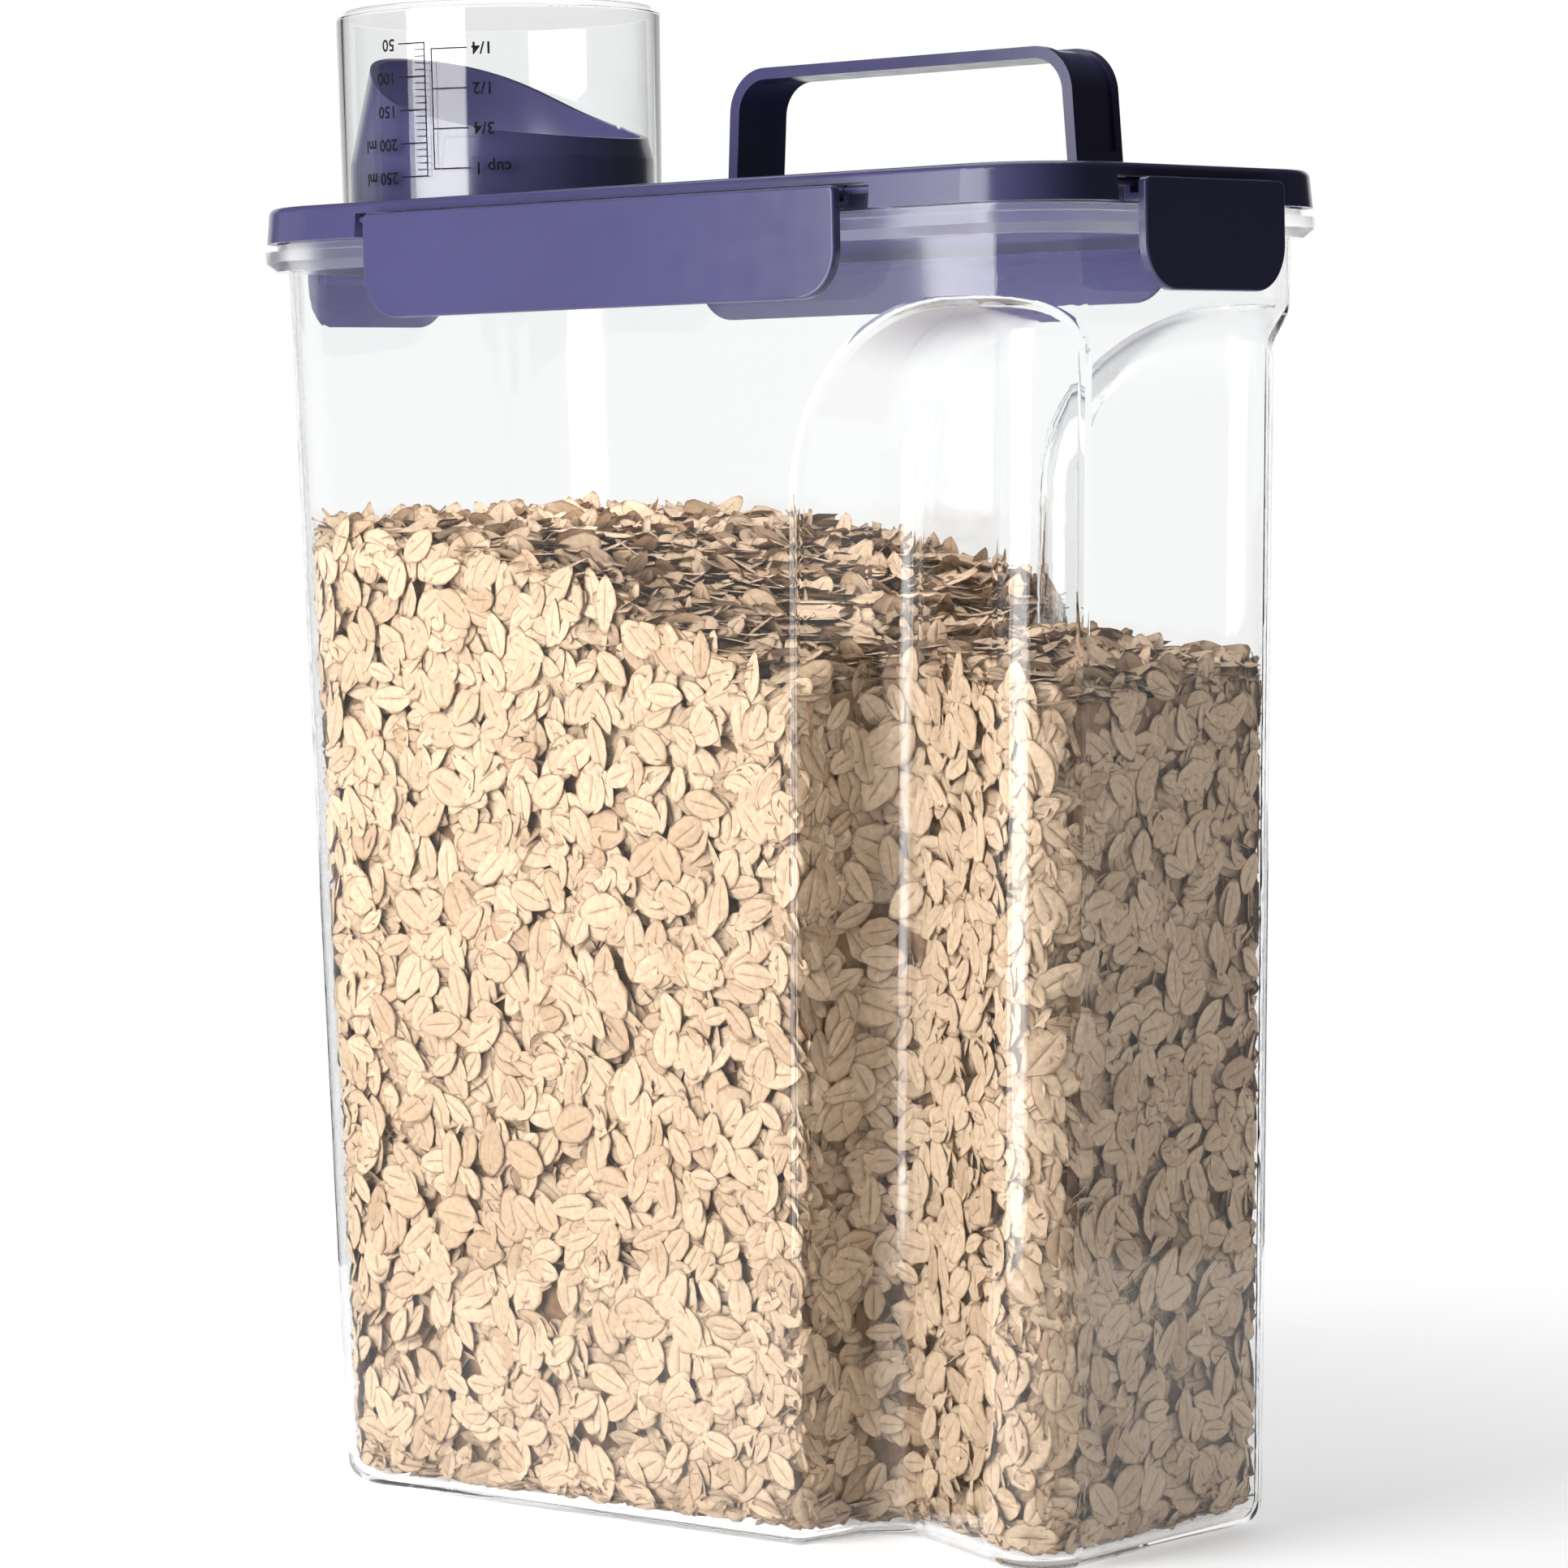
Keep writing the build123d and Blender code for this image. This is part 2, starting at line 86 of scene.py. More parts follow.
def new_material(name):
    mat = bpy.data.materials.new(name)
    mat.use_nodes = True
    tree = mat.node_tree
    return mat, tree, tree.nodes["Principled BSDF"]


def add_node(tree, kind, **values):
    node = tree.nodes.new(kind)
    for key, value in values.items():
        if hasattr(node, key):
            setattr(node, key, value)
        else:
            node.inputs[key].default_value = value
    return node


def set_inputs(node, values):
    for key, value in values.items():
        node.inputs[key].default_value = value


def object_noise(tree, scale, detail):
    coord = add_node(tree, "ShaderNodeTexCoord")
    noise = add_node(tree, "ShaderNodeTexNoise", Scale=scale, Detail=detail)
    tree.links.new(coord.outputs["Object"], noise.inputs["Vector"])
    return noise.outputs["Fac"]


def noise_ramp(tree, scale, low=0.0, high=1.0, detail=3.0):
    """Object-space noise spread between two numbers."""
    spread = add_node(tree, "ShaderNodeMapRange")
    set_inputs(spread, {"From Min": NOISE_LOW, "From Max": NOISE_HIGH, "To Min": low, "To Max": high})
    tree.links.new(object_noise(tree, scale, detail), spread.inputs["Value"])
    return spread.outputs["Result"]


def add_bump(tree, shader, scale, strength, distance):
    bump = add_node(tree, "ShaderNodeBump", Strength=strength, Distance=distance)
    tree.links.new(object_noise(tree, scale, detail=2.0), bump.inputs["Height"])
    tree.links.new(bump.outputs["Normal"], shader.inputs["Normal"])


def mix_colour(tree, shader, factor, dark, light):
    mix = tree.nodes.new("ShaderNodeMix")
    mix.data_type = "RGBA"
    mix.inputs["A"].default_value = (*dark, 1)
    mix.inputs["B"].default_value = (*light, 1)
    tree.links.new(factor, mix.inputs["Factor"])
    tree.links.new(mix.outputs["Result"], shader.inputs["Base Color"])


def add_band(tree, value, start, end, most):
    """A number that goes from nothing to its most while the value goes from start to end."""
    band = add_node(tree, "ShaderNodeMapRange")
    set_inputs(band, {"From Min": start, "From Max": end, "To Max": most})
    tree.links.new(value, band.inputs["Value"])
    return band.outputs["Result"]


def add_maths(tree, operation, first, second):
    node = add_node(tree, "ShaderNodeMath", operation=operation)
    tree.links.new(first, node.inputs[0])
    tree.links.new(second, node.inputs[1])
    return node.outputs["Value"]


def link(obj):
    scene.collection.objects.link(obj)
    return obj


def mesh_object(name, verts, faces, mat, smooth=False):
    mesh = bpy.data.meshes.new(name)
    mesh.from_pydata([tuple(v) for v in verts], [], faces)
    mesh.materials.append(mat)
    mesh.update()
    if smooth:
        mesh.shade_smooth()
    return link(bpy.data.objects.new(name, mesh))


# Plastics: the lid's purple, the clear body and cup, and the gasket

PURPLE_DARK = (0.054, 0.051, 0.126)
PURPLE_LIGHT = (0.062, 0.059, 0.142)
PURPLE_IOR = 1.49
PURPLE_NODES = ("lid", "handle", "front_latch", "rear_latch", "grip_latch", "pour_latch")
BODY_TINT = (0.985, 0.99, 0.99)
BODY_IOR = 1.16
CUP_TINT = (0.98, 0.985, 0.985)
CUP_IOR = 1.22
CLEAR_SKIN = {"Coat Weight": 0.7, "Coat IOR": 1.45, "Coat Roughness": 0.06}
SILICONE_DARK = (0.70, 0.70, 0.72)
SILICONE_LIGHT = (0.80, 0.80, 0.82)
SILICONE_BODY = {"Roughness": 0.55, "Subsurface Weight": 0.2, "Subsurface Scale": 0.002}

# Frosted zones of the clear body: the rim, and the crown of the arch over each grip groove
FLANGE_LOW = 0.3295
RIM_BLEND = 0.0006
RIM_ROUGHNESS = 0.42
ARCH_CENTRE = (0.1065, 0.0, 0.265)
ARCH_OUT = 0.0500
ARCH_IN = 0.0470
CROWN_ROUGHNESS = 0.35
CROWN_BANDS = (("Z", 0.284, 0.302), ("X", 0.131, 0.122))


def purple_plastic():
    """Moulded polypropylene: semi-gloss, with a very fine grain and slight colour drift."""
    mat, tree, shader = new_material("purple_plastic")
    mix_colour(tree, shader, noise_ramp(tree, scale=22.0), PURPLE_DARK, PURPLE_LIGHT)
    rough = noise_ramp(tree, scale=160.0, low=0.18, high=0.23)
    tree.links.new(rough, shader.inputs["Roughness"])
    shader.inputs["IOR"].default_value = PURPLE_IOR
    add_bump(tree, shader, scale=900.0, strength=0.03, distance=0.0001)
    return mat


def add_frosting(tree, rough):
    """The roughness, with more of it in the frosted zones."""
    coord = add_node(tree, "ShaderNodeTexCoord").outputs["Object"]
    split = add_node(tree, "ShaderNodeSeparateXYZ")
    tree.links.new(coord, split.inputs["Vector"])
    rim = add_band(tree, split.outputs["Z"], FLANGE_LOW - RIM_BLEND, FLANGE_LOW, RIM_ROUGHNESS)
    flat = add_node(tree, "ShaderNodeVectorMath", operation="MULTIPLY")
    tree.links.new(coord, flat.inputs[0])
    flat.inputs[1].default_value = (1, 0, 1)
    reach = add_node(tree, "ShaderNodeVectorMath", operation="DISTANCE")
    tree.links.new(flat.outputs["Vector"], reach.inputs[0])
    reach.inputs[1].default_value = ARCH_CENTRE
    crown = add_band(tree, reach.outputs["Value"], ARCH_OUT, ARCH_IN, CROWN_ROUGHNESS)
    for axis, start, end in CROWN_BANDS:
        crown = add_maths(tree, "MULTIPLY", crown, add_band(tree, split.outputs[axis], start, end, 1.0))
    return add_maths(tree, "ADD", rough, add_maths(tree, "ADD", rim, crown))


def clear_plastic(name, tint, bend, frosted=False):
    """Water-clear styrene: a polished skin over a body that bends the view a little."""
    mat, tree, shader = new_material(name)
    set_inputs(shader, {"Base Color": (*tint, 1), "Transmission Weight": 1.0, "IOR": bend})
    set_inputs(shader, CLEAR_SKIN)
    rough = noise_ramp(tree, scale=60.0, low=0.0, high=0.012)
    if frosted:
        rough = add_frosting(tree, rough)
    tree.links.new(rough, shader.inputs["Roughness"])
    add_bump(tree, shader, scale=14.0, strength=0.004, distance=0.001)
    return mat


def soft_silicone():
    mat, tree, shader = new_material("silicone")
    mix_colour(tree, shader, noise_ramp(tree, scale=80.0), SILICONE_DARK, SILICONE_LIGHT)
    set_inputs(shader, SILICONE_BODY)
    add_bump(tree, shader, scale=1500.0, strength=0.05, distance=0.0001)
    return mat


def dress(node, mat):
    obj = nodes[node]
    obj.data.materials.clear()
    obj.data.materials.append(mat)
    return obj


def dress_nodes():
    purple = purple_plastic()
    for name in PURPLE_NODES:
        dress(name, purple)
    body = dress("container", clear_plastic("clear_body", BODY_TINT, BODY_IOR, frosted=True))
    body.visible_shadow = False
    cup = dress("measuring_cup", clear_plastic("clear_cup", CUP_TINT, CUP_IOR))
    cup.visible_shadow = False
    cup.visible_diffuse = False
    cup.visible_glossy = False
    dress("lid_gasket", soft_silicone())


# Printed scale on the cup, wrapped on its outer wall; the cup stands upside down, so its figures do too

CUP_LOW, CUP_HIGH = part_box("measuring_cup")
CUP_CENTRE = (CUP_LOW + CUP_HIGH) / 2
CUP_MOUTH_R = 0.0438
CUP_END_R = 0.0445
CUP_BORE_R = 0.0424
CUP_BASE = 0.0022
INK_DARK = (0.006, 0.006, 0.008)
INK_LIGHT = (0.016, 0.015, 0.018)
INK_BODY = {"Roughness": 0.8, "Specular IOR Level": 0.05}
PRINT_PROUD = 0.00006
PRINT_TURN = math.radians(-72.0)
PRINT_LINE = 0.00034
PRINT_FINE = 0.00024
PRINT_CUT = 0.0012
FIGURE_TALL = 0.0031
FIGURE_SIZE = 1.45 * FIGURE_TALL
FIGURE_BOLD = 0.00008
FIGURE_CURVE_STEPS = 3
FIGURE_GAP = 0.0012
SCALE_GAP = 0.0021
ML_MARKS = (50, 100, 150, 200, 250)
ML_STEP = 10
ML_NAMED_FROM = 200
ML_LONG = 0.0082
ML_SHORT = 0.0030
CUP_ML = 240.0
CUP_LONG = 0.0100
CUP_MARKS = ((0.25, "1/4"), (0.5, "1/2"), (0.75, "3/4"), (1.0, "cup 1"))
M3_PER_ML = 1e-6


def printing_ink():
    mat, tree, shader = new_material("printing_ink")
    mix_colour(tree, shader, noise_ramp(tree, scale=900.0), INK_DARK, INK_LIGHT)
    set_inputs(shader, INK_BODY)
    return mat


def fill_height(ml):
    """Depth of that volume above the cup's closed end, in metres."""
    return ml * M3_PER_ML / (math.pi * CUP_BORE_R ** 2)


def bar_quads(verts, faces, s0, s1, h0, h1):
    """A printed bar from arc s0 to s1 and height h0 to h1, cut finely enough to wrap."""
    cuts = max(1, int(abs(s1 - s0) / PRINT_CUT))
    first = len(verts)
    for k in range(cuts + 1):
        s = s0 + (s1 - s0) * k / cuts
        verts.append((s, h0))
        verts.append((s, h1))
    for k in range(cuts):
        a = first + 2 * k
        faces.append((a, a + 2, a + 3, a + 1))


def figure_mesh(verts, faces, text, s, h, align):
    """Flat figures from the built-in face, as mesh, standing at arc s with their middle at height h."""
    curve = bpy.data.curves.new("figure", "FONT")
    curve.body = text
    curve.size = FIGURE_SIZE
    curve.align_x = align
    curve.align_y = "CENTER"
    curve.offset = FIGURE_BOLD
    curve.resolution_u = FIGURE_CURVE_STEPS
    holder = link(bpy.data.objects.new("figure", curve))
    bpy.context.view_layer.update()
    mesh = bpy.data.meshes.new_from_object(holder.evaluated_get(bpy.context.evaluated_depsgraph_get()))
    first = len(verts)
    verts.extend((s + v.co.x, h + v.co.y) for v in mesh.vertices)
    faces.extend(tuple(first + i for i in p.vertices) for p in mesh.polygons)
    bpy.data.objects.remove(holder)
    bpy.data.meshes.remove(mesh)
    bpy.data.curves.remove(curve)


def scale_layout():
    """The two scales side by side, drawn as they read with the cup the right way up."""
    verts, faces = [], []
    half = PRINT_LINE / 2
    low, high = fill_height(ML_MARKS[0]), fill_height(ML_MARKS[-1])
    ml_line, cup_line = SCALE_GAP / 2, -SCALE_GAP / 2
    bar_quads(verts, faces, ml_line - half, ml_line + half, low - half, high + half)
    for ml in range(ML_MARKS[0], ML_MARKS[-1] + 1, ML_STEP):
        major = ml in ML_MARKS
        long = ML_LONG if major else ML_SHORT
        thick = half if major else PRINT_FINE / 2
        h = fill_height(ml)
        bar_quads(verts, faces, ml_line, ml_line + long, h - thick, h + thick)
        if major:
            label = f"{ml} ml" if ml >= ML_NAMED_FROM else str(ml)
            figure_mesh(verts, faces, label, ml_line + long + FIGURE_GAP, h, "LEFT")
    low, high = fill_height(CUP_ML * CUP_MARKS[0][0]), fill_height(CUP_ML)
    bar_quads(verts, faces, cup_line - half, cup_line + half, low - half, high + half)
    for share, label in CUP_MARKS:
        h = fill_height(CUP_ML * share)
        bar_quads(verts, faces, cup_line - CUP_LONG, cup_line, h - half, h + half)
        figure_mesh(verts, faces, label, cup_line - CUP_LONG - FIGURE_GAP, h, "RIGHT")
    return verts, faces


def wrap_on_cup(layout):
    """The flat layout on the cup's wall, upside down as the cup is."""
    inside = CUP_HIGH.z - CUP_BASE
    placed = []
    for s, h in layout:
        z = inside - h
        share = (z - CUP_LOW.z) / (CUP_HIGH.z - CUP_LOW.z)
        r = CUP_MOUTH_R + (CUP_END_R - CUP_MOUTH_R) * share + PRINT_PROUD
        a = PRINT_TURN - s / r
        placed.append((CUP_CENTRE.x + r * math.cos(a), CUP_CENTRE.y + r * math.sin(a), z))
    return placed


def add_print():
    layout, faces = scale_layout()
    scale = mesh_object("cup_scale_print", wrap_on_cup(layout), faces, printing_ink())
    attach(scale, "measuring_cup")


# Rolled oats: what the container holds in the photograph, not a piece of the product

OAT_FRONT = (
    (-0.135, 0.259), (-0.088, 0.2585), (-0.061, 0.2556), (-0.038, 0.251), (-0.015, 0.2446), (0.015, 0.232),
    (0.034, 0.225), (0.053, 0.219), (0.082, 0.223), (0.102, 0.220), (0.135, 0.219),
)
OAT_REAR = (
    (-0.135, 0.262), (-0.059, 0.2605), (-0.030, 0.258), (-0.007, 0.2555), (0.021, 0.249), (0.043, 0.2425),
    (0.068, 0.233), (0.094, 0.228), (0.120, 0.222), (0.135, 0.220),
)
OAT_SEED = 11
OAT_LENGTH = 0.0125
OAT_HALF_X = 0.135
OAT_HALF_Y = 0.055
OAT_CLEAR = 0.0004
OAT_PALE = np.array((0.49, 0.365, 0.25))
OAT_TAN = np.array((0.33, 0.22, 0.135))
OAT_PALENESS = (3.0, 1.2)
# Painted shade: the tint that darkens each flake's rim and crease
OAT_PAINTED_SHADE_TINT = np.array((0.64, 0.75, 0.84))
OAT_BODY = {"Roughness": 0.75, "Specular IOR Level": 0.25}

# One flake, as shares of its length or width, or as heights
FLAKE_FORMS = 60
FLAKE_U = np.array([-1.0, -0.82, -0.45, 0.0, 0.45, 0.82, 1.0])
FLAKE_V = np.array([-1.0, -0.84, -0.45, -0.12, 0.0, 0.12, 0.45, 0.84, 1.0])
FLAKE_RIM = ((0, 4), (6, 4), (3, 0), (3, 8), (1, 0), (1, 8), (5, 0), (5, 8))
FLAKE_TIPS = [i * len(FLAKE_V) + j for i, j in FLAKE_RIM]
FLAKE_LONG = (0.75, 1.25)
FLAKE_WIDE = (0.46, 0.68)
FLAKE_OVAL = 0.72
FLAKE_TIP = 0.12
FLAKE_LOPSIDED = 0.20
FLAKE_RAGGED = 0.07
FLAKE_EDGE = 0.9
FLAKE_BOW = (-0.0004, 0.0007)
FLAKE_TWIST = (-0.0006, 0.0006)
FLAKE_DOME = 0.0005
CREASE_DEEP = 0.0005
CREASE_SPREAD = 0.09
CREASE_END = 0.8
CREASE_LINE = (0.05, 0.7)
# Painted shade: how much a flake's rim and crease are darkened in its colour
EDGE_PAINTED_SHADE = 0.9
CREASE_PAINTED_SHADE = 0.6

# How flakes lie behind the walls and over the top
WALL_COUNT = 17000
WALL_BATCH = 2000
WALL_GAP = 0.0007
WALL_FLAT_SHARE = 0.7
WALL_LEAN = 0.26
WALL_ON_EDGE = (0.4, 1.3)
WALL_DEEP_SHARE = 0.6
WALL_DEEP = 0.0045
LEVEL_MARGIN = 0.001
TOP_COUNT = 3600
TOP_HALF_Y = 0.057
TOP_LIFT = (-0.004, 0.0015)
TOP_FACING = np.array((0.05, 0.0, 1.0))
TOP_LEAN = 0.45
ASIDE = (0.3, 0.5, 0.81)
ALONG = (1.0, 0, 0)
UPRIGHT = 0.9
NUDGE = 1e-6
SETTLE_TRIES = 6
SETTLE_STEP = 0.00005

# The bed behind the flakes, its dark browns painted shade for the gaps between them
BED_DEEP = 0.0050
BED_HALF_Y = 0.058
BED_CUTS = (91, 41)
BED_PAINTED_SHADE_DARK = (0.09, 0.045, 0.020)
BED_PAINTED_SHADE_LIGHT = (0.22, 0.125, 0.065)
BED_ROUGHNESS = 0.9

# Finding the container's inside
WAYS_OUT = [Vector(way) for way in ((1, 0, 0), (-1, 0, 0), (0, 1, 0), (0, -1, 0), (0, 0, -1))]
PROBE_OUT = 0.0008
CAVITY_CLEAR = 0.003
LEAST_AREA = 1e-10
TINY = 1e-15

Wall = namedtuple("Wall", "points tris normals areas tree")


def oat_level(x, y):
    """Height of the oats' top at a place, higher at the pour end and towards the rear."""
    front = np.interp(x, [p[0] for p in OAT_FRONT], [p[1] for p in OAT_FRONT])
    rear = np.interp(x, [p[0] for p in OAT_REAR], [p[1] for p in OAT_REAR])
    share = np.clip((y + OAT_HALF_Y) / (2 * OAT_HALF_Y), 0, 1)
    return front + (rear - front) * share


def whole(faces):
    """Faces as plain tuples of vertex numbers."""
    return [tuple(int(i) for i in face) for face in faces]


def surface_tree(points, tris):
    return BVHTree.FromPolygons([tuple(p) for p in points], whole(tris))


def walled_in(tree, at):
    """True where every way but up meets the container."""
    return all(tree.ray_cast(at, way)[0] is not None for way in WAYS_OUT)


def in_cavity(tree, at):
    """True inside the container and clear of its wall."""
    return walled_in(tree, at) and tree.find_nearest(at)[3] > CAVITY_CLEAR


def inner_wall():
    """The container's inside: triangles that are walled in just in front of them."""
    mesh = nodes["container"].data
    mesh.calc_loop_triangles()
    points = np.array([v.co for v in mesh.vertices], float)
    tris = np.array([t.vertices for t in mesh.loop_triangles])
    tree = surface_tree(points, tris)
    a, b, c = (points[tris[:, k]] for k in range(3))
    cross = np.cross(b - a, c - a)
    areas = np.linalg.norm(cross, axis=1) / 2
    normals = cross / np.maximum(2 * areas, TINY)[:, None]
    probes = (a + b + c) / 3 + normals * PROBE_OUT
    inside = np.array([
        area > LEAST_AREA and walled_in(tree, Vector(probe)) for area, probe in zip(areas, probes)
    ])
    return Wall(points, tris[inside], normals[inside], areas[inside], tree)


def flake_form(rng):
    """One rolled oat: an oval flake, domed, with a crease along it and a slightly broken edge; its rim and
    crease are darkened as painted shade.
    """
    long = OAT_LENGTH * rng.uniform(*FLAKE_LONG)
    wide = long * rng.uniform(*FLAKE_WIDE)
    u, v = np.meshgrid(FLAKE_U, FLAKE_V, indexing="ij")
    taper = np.clip(1 - u ** 2, 0, 1) ** FLAKE_OVAL * (1 + FLAKE_LOPSIDED * rng.uniform(-1, 1) * u)
    ragged = 1 + FLAKE_RAGGED * rng.standard_normal(u.shape) * (np.abs(v) > FLAKE_EDGE)
    x = long / 2 * u
    y = wide / 2 * v * np.maximum(taper, FLAKE_TIP) * ragged
    bow = rng.uniform(*FLAKE_BOW)
    twist = rng.uniform(*FLAKE_TWIST)
    z = FLAKE_DOME * (1 - u ** 2) * (1 - v ** 2) + bow * u ** 2 + twist * v * np.abs(v)
    z = z - CREASE_DEEP * np.exp(-(v / CREASE_SPREAD) ** 2) * (np.abs(u) < CREASE_END)
    # Painted shade: the rim and crease are darkened in the flake's colour to stand for the shadow along its
    # edges and in its crease
    edge = np.maximum(np.abs(u), np.abs(v)) > FLAKE_EDGE
    crease = (np.abs(v) < CREASE_LINE[0]) & (np.abs(u) < CREASE_LINE[1])
    dark = np.clip(EDGE_PAINTED_SHADE * edge + CREASE_PAINTED_SHADE * crease, 0, 1)
    shade = 1 - dark[..., None] * OAT_PAINTED_SHADE_TINT
    return np.stack([x, y, z], -1).reshape(-1, 3), shade.reshape(-1, 3)


def flake_faces():
    rows, cols = len(FLAKE_U), len(FLAKE_V)
    return np.array([
        (i * cols + j, (i + 1) * cols + j, (i + 1) * cols + j + 1, i * cols + j + 1)
        for i in range(rows - 1) for j in range(cols - 1)
    ])


def turn_to(axis, rng, tilt):
    """Axes with the third near the given one, leant by tilt and spun at random."""
    axis = axis / np.linalg.norm(axis)
    side = np.cross(axis, ASIDE if abs(axis[2]) < UPRIGHT else ALONG)
    side = side / np.linalg.norm(side)
    other = np.cross(axis, side)
    spin = rng.uniform(0, 2 * math.pi)
    lean = np.cos(spin) * side + np.sin(spin) * other
    third = np.cos(tilt) * axis + np.sin(tilt) * lean
    turn = rng.uniform(0, 2 * math.pi)
    first = np.cross(third, np.cos(turn) * side + np.sin(turn) * other + NUDGE)
    first = first / np.linalg.norm(first)
    return np.stack([first, np.cross(third, first), third], 0)


def wall_place(rng, corners, normal):
    """Centre, facing and tilt of a flake behind a wall triangle, or None above the oats' level."""
    p, q = rng.uniform(size=2)
    if p + q > 1:
        p, q = 1 - p, 1 - q
    a, b, c = corners
    at = a + p * (b - a) + q * (c - a)
    if at[2] > oat_level(at[0], at[1]) - LEVEL_MARGIN:
        return None
    if rng.uniform() < WALL_FLAT_SHARE:
        tilt = abs(rng.normal(0, WALL_LEAN))
    else:
        tilt = rng.uniform(*WALL_ON_EDGE)
    deep = WALL_GAP + OAT_LENGTH / 2 * math.sin(tilt)
    if rng.uniform() < WALL_DEEP_SHARE:
        deep += rng.uniform(0, WALL_DEEP)
    return at + normal * deep, -normal, tilt


def wall_places(rng, wall):
    """Flakes spread evenly over the inside, up to the oats' level."""
    share = wall.areas / wall.areas.sum()
    places = []
    while len(places) < WALL_COUNT:
        for i in rng.choice(len(wall.tris), WALL_BATCH, p=share):
            place = wall_place(rng, wall.points[wall.tris[i]], wall.normals[i])
            if place is not None:
                places.append(place)
    return places[:WALL_COUNT]


def top_places(rng, tree):
    """Flakes strewn over the top."""
    places = []
    while len(places) < TOP_COUNT:
        x = rng.uniform(-OAT_HALF_X, OAT_HALF_X)
        y = rng.uniform(-TOP_HALF_Y, TOP_HALF_Y)
        at = Vector((x, y, oat_level(x, y)))
        if not in_cavity(tree, at):
            continue
        lift = rng.uniform(*TOP_LIFT)
        tilt = abs(rng.normal(0, TOP_LEAN))
        places.append((np.array(at) + (0, 0, lift), TOP_FACING, tilt))
    return places


def wall_overlap(skin, pts):
    """How far a flake's rim passes the container's inner skin, with its clearance, and the way back in."""
    over, way = 0.0, None
    for k in FLAKE_TIPS:
        at = Vector(pts[k])
        hit, inward, _, _ = skin.find_nearest(at)
        past = OAT_CLEAR - (at - hit).dot(inward)
        if past > over:
            over, way = past, inward
    return over, way


def settle(skin, pts):
    """The flake moved off the walls that it passes, or None where it finds no room."""
    for _ in range(SETTLE_TRIES):
        over, way = wall_overlap(skin, pts)
        if over == 0:
            return pts
        pts = pts + np.array(way) * (over + SETTLE_STEP)
    return None


def oat_material():
    mat, tree, shader = new_material("rolled_oats")
    colour = tree.nodes.new("ShaderNodeVertexColor")
    colour.layer_name = "oat"
    speckle = noise_ramp(tree, scale=700.0, low=0.80, high=1.06, detail=4.0)
    mix = add_node(tree, "ShaderNodeVectorMath", operation="SCALE")
    tree.links.new(colour.outputs["Color"], mix.inputs[0])
    tree.links.new(speckle, mix.inputs["Scale"])
    tree.links.new(mix.outputs["Vector"], shader.inputs["Base Color"])
    set_inputs(shader, OAT_BODY)
    add_bump(tree, shader, scale=1400.0, strength=0.35, distance=0.0003)
    return mat


def bed_material():
    mat, tree, shader = new_material("oat_bed_painted_shade")
    # Painted shade: the bed's dark browns stand for the shaded oats seen between the flakes
    mix_colour(tree, shader, noise_ramp(tree, scale=260.0), BED_PAINTED_SHADE_DARK, BED_PAINTED_SHADE_LIGHT)
    shader.inputs["Roughness"].default_value = BED_ROUGHNESS
    return mat


def add_flakes(rng, wall):
    places = wall_places(rng, wall) + top_places(rng, wall.tree)
    skin = surface_tree(wall.points, wall.tris)
    forms = [flake_form(rng) for _ in range(FLAKE_FORMS)]
    quads = flake_faces()
    verts, faces, colours = [], [], []
    for at, facing, tilt in places:
        shape, shade = forms[int(rng.integers(len(forms)))]
        pts = settle(skin, shape @ turn_to(facing, rng, tilt) + at)
        if pts is None:
            continue
        faces.append(quads + len(verts) * len(shape))
        verts.append(pts)
        colour = OAT_TAN + (OAT_PALE - OAT_TAN) * rng.beta(*OAT_PALENESS)
        # The flake's colour times its painted shade at rim and crease
        colours.append(np.concatenate([colour * shade, np.ones((len(shade), 1))], 1))
    mesh = bpy.data.meshes.new("oats")
    mesh.from_pydata(np.concatenate(verts).tolist(), [], np.concatenate(faces).tolist())
    layer = mesh.color_attributes.new("oat", "FLOAT_COLOR", "POINT")
    layer.data.foreach_set("color", np.concatenate(colours).astype(np.float32).ravel())
    mesh.materials.append(oat_material())
    mesh.shade_smooth()
    oats = link(bpy.data.objects.new("oats", mesh))


def bed_sides(wall):
    """The inside drawn in behind the flakes and cut off at the level."""
    total = np.zeros_like(wall.points)
    for k in range(3):
        np.add.at(total, wall.tris[:, k], wall.normals)
    length = np.linalg.norm(total, axis=1)
    pts = wall.points + total / np.maximum(length, TINY)[:, None] * BED_DEEP
    level = oat_level(pts[:, 0], pts[:, 1]) - BED_DEEP
    below = (pts[:, 2] < level)[wall.tris].any(axis=1)
    pts[:, 2] = np.minimum(pts[:, 2], level)
    return pts, whole(wall.tris[below])


def bed_cover(tree):
    """A grid under the top flakes, where it lies inside the container."""
    points, quads, index = [], [], {}
    for i, x in enumerate(np.linspace(-OAT_HALF_X, OAT_HALF_X, BED_CUTS[0])):
        for j, y in enumerate(np.linspace(-BED_HALF_Y, BED_HALF_Y, BED_CUTS[1])):
            at = Vector((x, y, oat_level(x, y) - BED_DEEP))
            if in_cavity(tree, at):
                index[i, j] = len(points)
                points.append(tuple(at))
    for i, j in index:
        ring = [(i, j), (i + 1, j), (i + 1, j + 1), (i, j + 1)]
        if all(corner in index for corner in ring):
            quads.append(tuple(index[corner] for corner in ring))
    return points, quads


def add_oat_bed(wall):
    """Dark bed behind the flakes, so that light doesn't pass between them; its dark brown is painted shade
    in the gaps.
    """
    mat = bed_material()
    core = mesh_object("oat_bed_painted_shade", *bed_sides(wall), mat)
    cover = mesh_object("oat_bed_top", *bed_cover(wall.tree), mat)


def add_oats():
    wall = inner_wall()
    add_flakes(np.random.default_rng(OAT_SEED), wall)
    add_oat_bed(wall)


# Floor, backdrop and light

